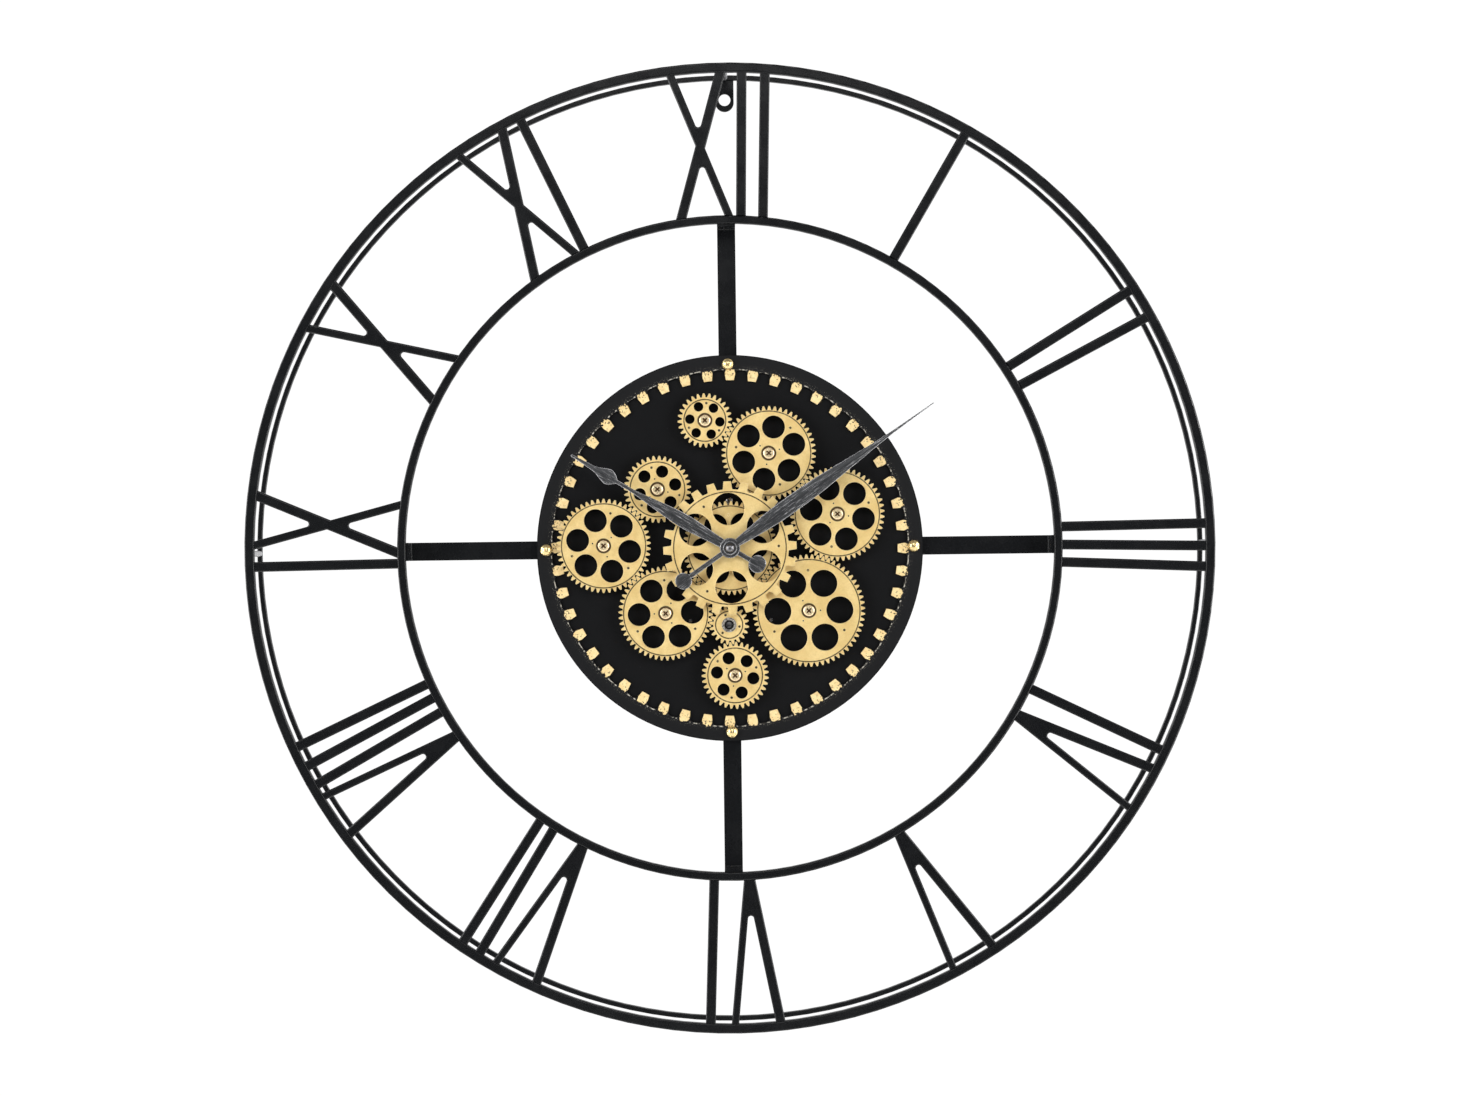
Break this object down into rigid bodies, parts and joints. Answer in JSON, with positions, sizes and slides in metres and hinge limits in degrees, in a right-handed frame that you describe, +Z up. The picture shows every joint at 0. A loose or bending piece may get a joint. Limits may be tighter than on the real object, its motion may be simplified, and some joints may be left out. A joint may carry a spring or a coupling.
{
  "type": "wall clock",
  "caption": "Round skeleton wall clock: open metal rings with Roman numerals, four spokes and a round dial carrying a train of turning ornamental gears behind two hands.",
  "frame": {"origin": "centre of the hanger hole, on the wall plane (the hanger tab's and the rear ring's back)", "axes": "+Y into the wall (the clock faces -Y), +Z up, +X to the right seen from the front"},
  "size_m": [0.7999, 0.0539, 0.8],
  "materials": {
    "black_metal": "satin black powder coat",
    "dial_black": "matt black powder coat",
    "toothed_rim": "satin black with gold-painted teeth",
    "gold_metal": "satin champagne gold",
    "gold_screw": "polished, gold coloured",
    "hand_metal": "antique dark metal, dry-brushed silver",
    "bright_steel": "bright",
    "bare_steel": "bare, dull",
    "brass": "turned",
    "black_plastic": "fine spark-eroded texture",
    "white_plastic": "natural acetal",
    "rubber": "matt",
    "coil_copper": "enamelled winding",
    "board": "solder mask",
    "cell": "printed sleeve, no marks"
  },
  "bodies": {
    "frame": {"front_ring": "black_metal", "rear_ring": "black_metal", "ring_standoffs": "bare_steel", "hanger_tab": "black_metal", "inner_ring": "black_metal", "dial_spokes": "black_metal", "dial_plate": "dial_black", "ring_gear": "toothed_rim", "dial_bolts": "bright_steel", "dial_dome_nuts": "gold_metal", "gear_posts": "bright_steel", "gear_screws": "gold_screw", "centre_clip": "bright_steel", "centre_bushing": "brass", "bushing_nut": "brass", "movement_gasket": "rubber", "movement_case": "black_plastic", "movement_cover": "black_plastic", "step_coil": "coil_copper", "circuit_board": "board", "batteries": "cell", "battery_contacts": "bright_steel", "fixing_screws": "bright_steel", "drive_case": "black_plastic", "drive_cover": "black_plastic", "drive_motor": "bare_steel", "numeral_01": "black_metal", "numeral_02": "black_metal", "numeral_03": "black_metal", "numeral_04": "black_metal", "numeral_05": "black_metal", "numeral_06": "black_metal", "numeral_07": "black_metal", "numeral_08": "black_metal", "numeral_09": "black_metal", "numeral_10": "black_metal", "numeral_11": "black_metal", "numeral_12": "black_metal"},
    "centre_set": {"centre_gear": "gold_metal", "centre_wheel": "gold_metal"},
    "output": {"drive_pinion": "gold_metal", "drive_shaft": "bright_steel"},
    "reduction": {"reduction_gear": "white_plastic"},
    "motor_rotor": {"motor_pinion": "brass"},
    "minute": {"minute_hand": "hand_metal", "minute_arbor": "bright_steel", "hand_nut": "bright_steel"},
    "hour": {"hour_hand": "hand_metal", "hour_wheel": "brass"},
    "motion": {"motion_wheel": "white_plastic"},
    "rotor": {"step_rotor": "bright_steel"},
    "switch": {"switch_slider": "white_plastic"},
    "wheel_lower_left": {"gear_lower_left": "gold_metal"},
    "wheel_lower_right": {"gear_lower_right": "gold_metal"},
    "wheel_right": {"gear_right": "gold_metal"},
    "wheel_upper_right": {"gear_upper_right": "gold_metal"},
    "wheel_top": {"gear_top": "gold_metal"},
    "wheel_left": {"gear_left": "gold_metal"},
    "wheel_upper_left": {"gear_upper_left": "gold_metal"},
    "wheel_bottom": {"gear_bottom": "gold_metal"}
  },
  "joints": [
    {"name": "gear_train_spin", "type": "hinge", "parent": "frame", "child": "centre_set", "pos_m": [0, -0.034, -0.377], "axis": [0, 1, 0], "continuous": true},
    {"name": "lower_left_wheel_spin", "type": "hinge", "parent": "frame", "child": "wheel_lower_left", "pos_m": [-0.05386, -0.034, -0.43048], "axis": [0, 1, 0], "continuous": true},
    {"name": "lower_right_wheel_spin", "type": "hinge", "parent": "frame", "child": "wheel_lower_right", "pos_m": [0.06472, -0.034, -0.4296], "axis": [0, 1, 0], "continuous": true},
    {"name": "right_wheel_spin", "type": "hinge", "parent": "frame", "child": "wheel_right", "pos_m": [0.08925, -0.034, -0.34989], "axis": [0, 1, 0], "continuous": true},
    {"name": "upper_right_wheel_spin", "type": "hinge", "parent": "frame", "child": "wheel_upper_right", "pos_m": [0.03306, -0.034, -0.29885], "axis": [0, 1, 0], "continuous": true},
    {"name": "top_wheel_spin", "type": "hinge", "parent": "frame", "child": "wheel_top", "pos_m": [-0.01948, -0.034, -0.27115], "axis": [0, 1, 0], "continuous": true},
    {"name": "left_wheel_spin", "type": "hinge", "parent": "frame", "child": "wheel_left", "pos_m": [-0.10454, -0.034, -0.37399], "axis": [0, 1, 0], "continuous": true},
    {"name": "upper_left_wheel_spin", "type": "hinge", "parent": "frame", "child": "wheel_upper_left", "pos_m": [-0.05939, -0.034, -0.32772], "axis": [0, 1, 0], "continuous": true},
    {"name": "bottom_wheel_spin", "type": "hinge", "parent": "frame", "child": "wheel_bottom", "pos_m": [0.00306, -0.034, -0.48249], "axis": [0, 1, 0], "continuous": true},
    {"name": "drive_output_spin", "type": "hinge", "parent": "frame", "child": "output", "pos_m": [-0.00142, -0.034, -0.44058], "axis": [0, 1, 0], "continuous": true},
    {"name": "reduction_spin", "type": "hinge", "parent": "frame", "child": "reduction", "pos_m": [0.00618, -0.034, -0.45374], "axis": [0, 1, 0], "continuous": true},
    {"name": "motor_spin", "type": "hinge", "parent": "frame", "child": "motor_rotor", "pos_m": [0.00184, -0.034, -0.46568], "axis": [0, 1, 0], "continuous": true},
    {"name": "minute_hand_turn", "type": "hinge", "parent": "frame", "child": "minute", "pos_m": [0, -0.034, -0.377], "axis": [0, 1, 0], "continuous": true},
    {"name": "hour_hand_turn", "type": "hinge", "parent": "frame", "child": "hour", "pos_m": [0, -0.034, -0.377], "axis": [0, 1, 0], "continuous": true},
    {"name": "motion_wheel_turn", "type": "hinge", "parent": "frame", "child": "motion", "pos_m": [0, -0.034, -0.37088], "axis": [0, 1, 0], "continuous": true},
    {"name": "step_rotor_spin", "type": "hinge", "parent": "frame", "child": "rotor", "pos_m": [0.014, -0.034, -0.365], "axis": [0, 1, 0], "continuous": true},
    {"name": "switch_slide", "type": "slide", "parent": "frame", "child": "switch", "axis": [1, 0, 0], "range_m": [0, 0.003]}
  ],
  "couplings": [
    {"joint": "lower_left_wheel_spin", "follows": "gear_train_spin", "ratio": -1},
    {"joint": "lower_right_wheel_spin", "follows": "gear_train_spin", "ratio": -0.83333},
    {"joint": "right_wheel_spin", "follows": "gear_train_spin", "ratio": 1},
    {"joint": "upper_right_wheel_spin", "follows": "gear_train_spin", "ratio": -1},
    {"joint": "top_wheel_spin", "follows": "gear_train_spin", "ratio": 1.7857},
    {"joint": "left_wheel_spin", "follows": "gear_train_spin", "ratio": 1},
    {"joint": "upper_left_wheel_spin", "follows": "gear_train_spin", "ratio": -1.4286},
    {"joint": "bottom_wheel_spin", "follows": "gear_train_spin", "ratio": -1.4286},
    {"joint": "drive_output_spin", "follows": "gear_train_spin", "ratio": 2.5},
    {"joint": "reduction_spin", "follows": "gear_train_spin", "ratio": -12.5},
    {"joint": "motor_spin", "follows": "gear_train_spin", "ratio": 50},
    {"joint": "hour_hand_turn", "follows": "minute_hand_turn", "ratio": 0.083333},
    {"joint": "motion_wheel_turn", "follows": "minute_hand_turn", "ratio": -0.33333}
  ]
}
